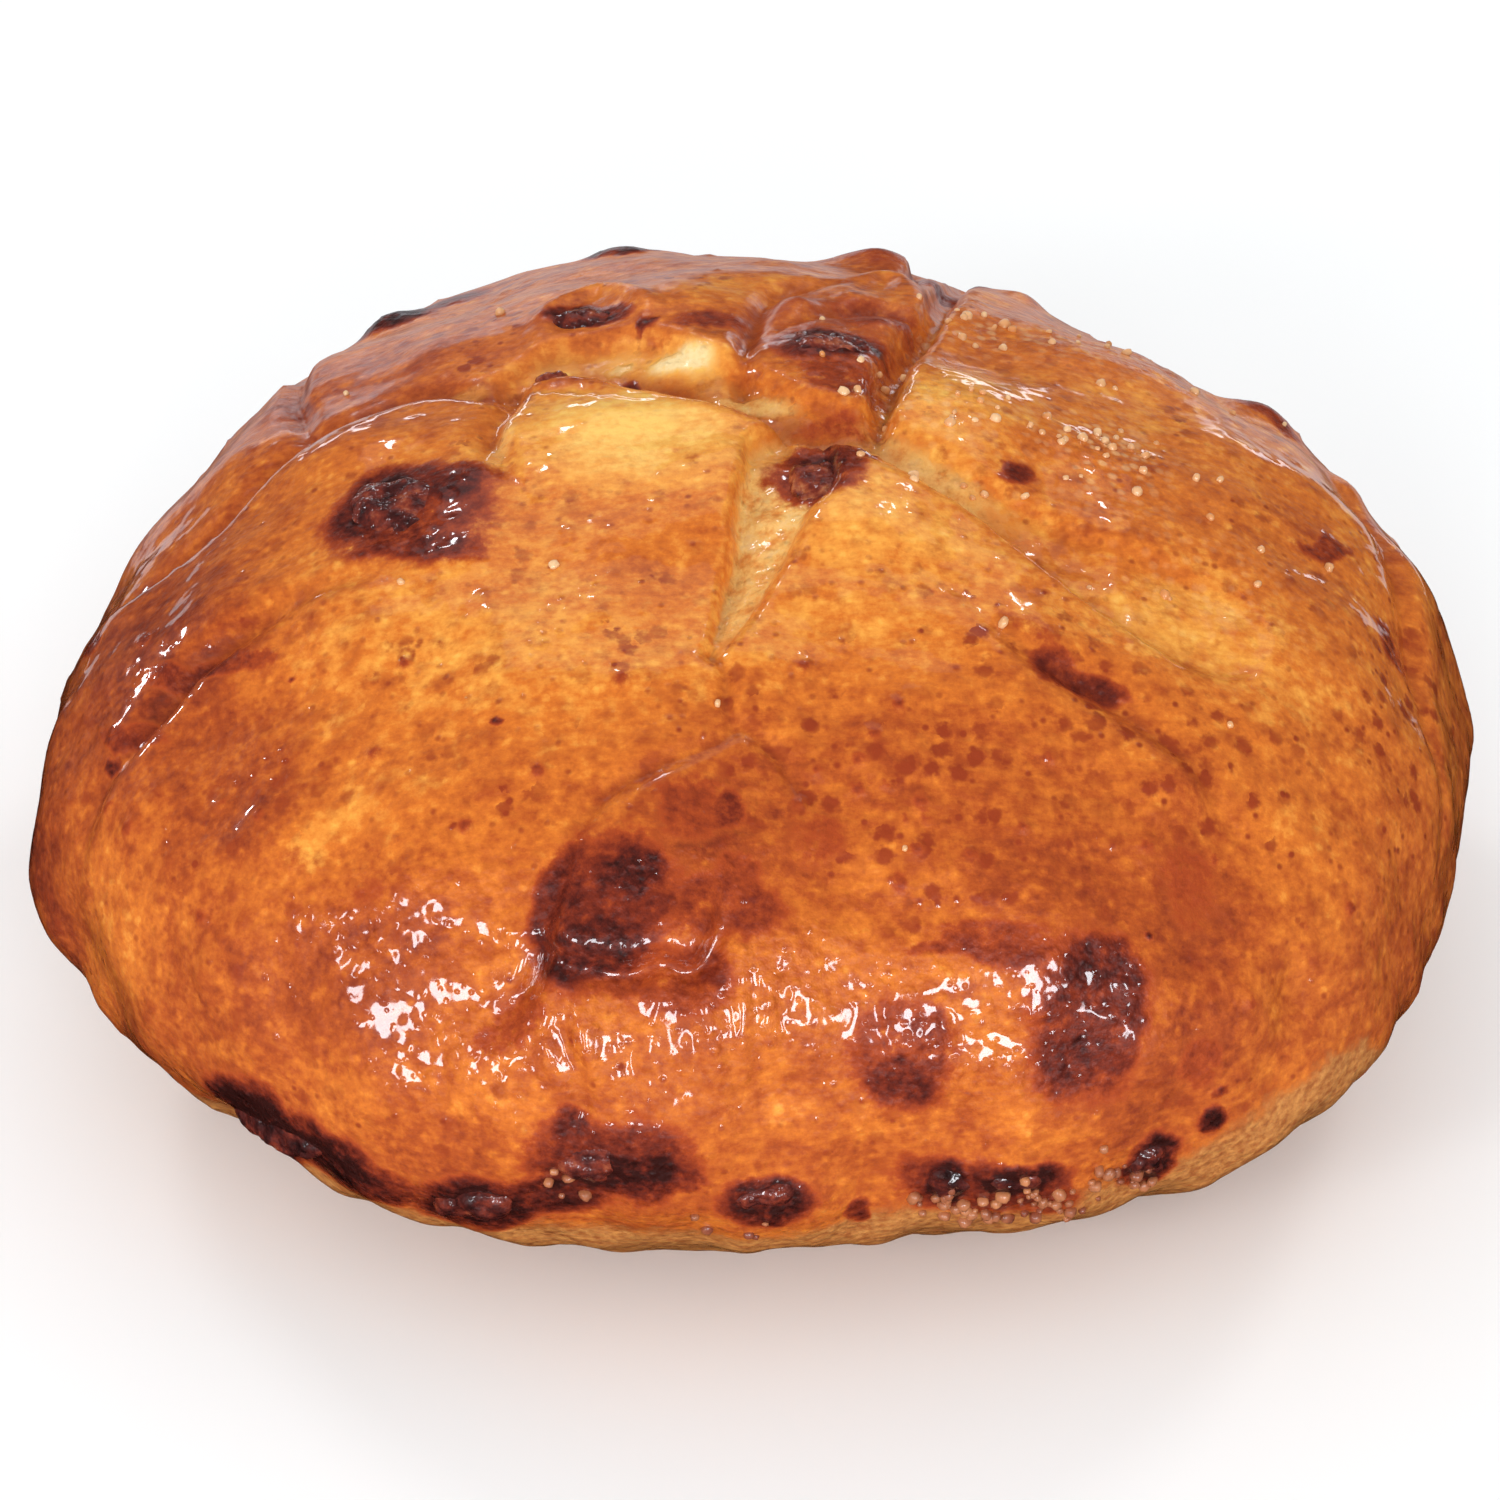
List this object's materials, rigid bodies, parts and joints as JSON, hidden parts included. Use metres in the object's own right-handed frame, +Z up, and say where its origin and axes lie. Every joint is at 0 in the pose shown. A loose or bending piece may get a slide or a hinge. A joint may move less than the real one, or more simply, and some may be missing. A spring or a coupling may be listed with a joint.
{
  "type": "apricot bread loaf",
  "caption": "Round glazed sweet loaf with a slashed, split crown and pieces of cooked fruit set in its crust.",
  "frame": {"origin": "middle of the loaf's footprint, on the surface that it rests on", "axes": "+Z up through the crown, -Y towards the slashed front, +X to the right as seen from the front"},
  "size_m": [0.1634, 0.1514, 0.0756],
  "materials": {
    "crust": "satin",
    "fruit": "gloss",
    "sugar": "gloss"
  },
  "bodies": {
    "root": {"loaf": "crust", "fruit_hood": "fruit", "fruit_ridge": "fruit", "fruit_slash": "fruit", "fruit_left": "fruit", "fruit_nub_left": "fruit", "fruit_nub_right": "fruit", "fruit_heel_left": "fruit", "fruit_heel_low_left": "fruit", "fruit_heel_mid_left": "fruit", "fruit_heel_middle": "fruit", "fruit_heel_mid_right": "fruit", "fruit_heel_right": "fruit", "fruit_heel_far_right": "fruit", "fruit_back_left": "fruit", "fruit_back_right": "fruit"}
  },
  "joints": []
}
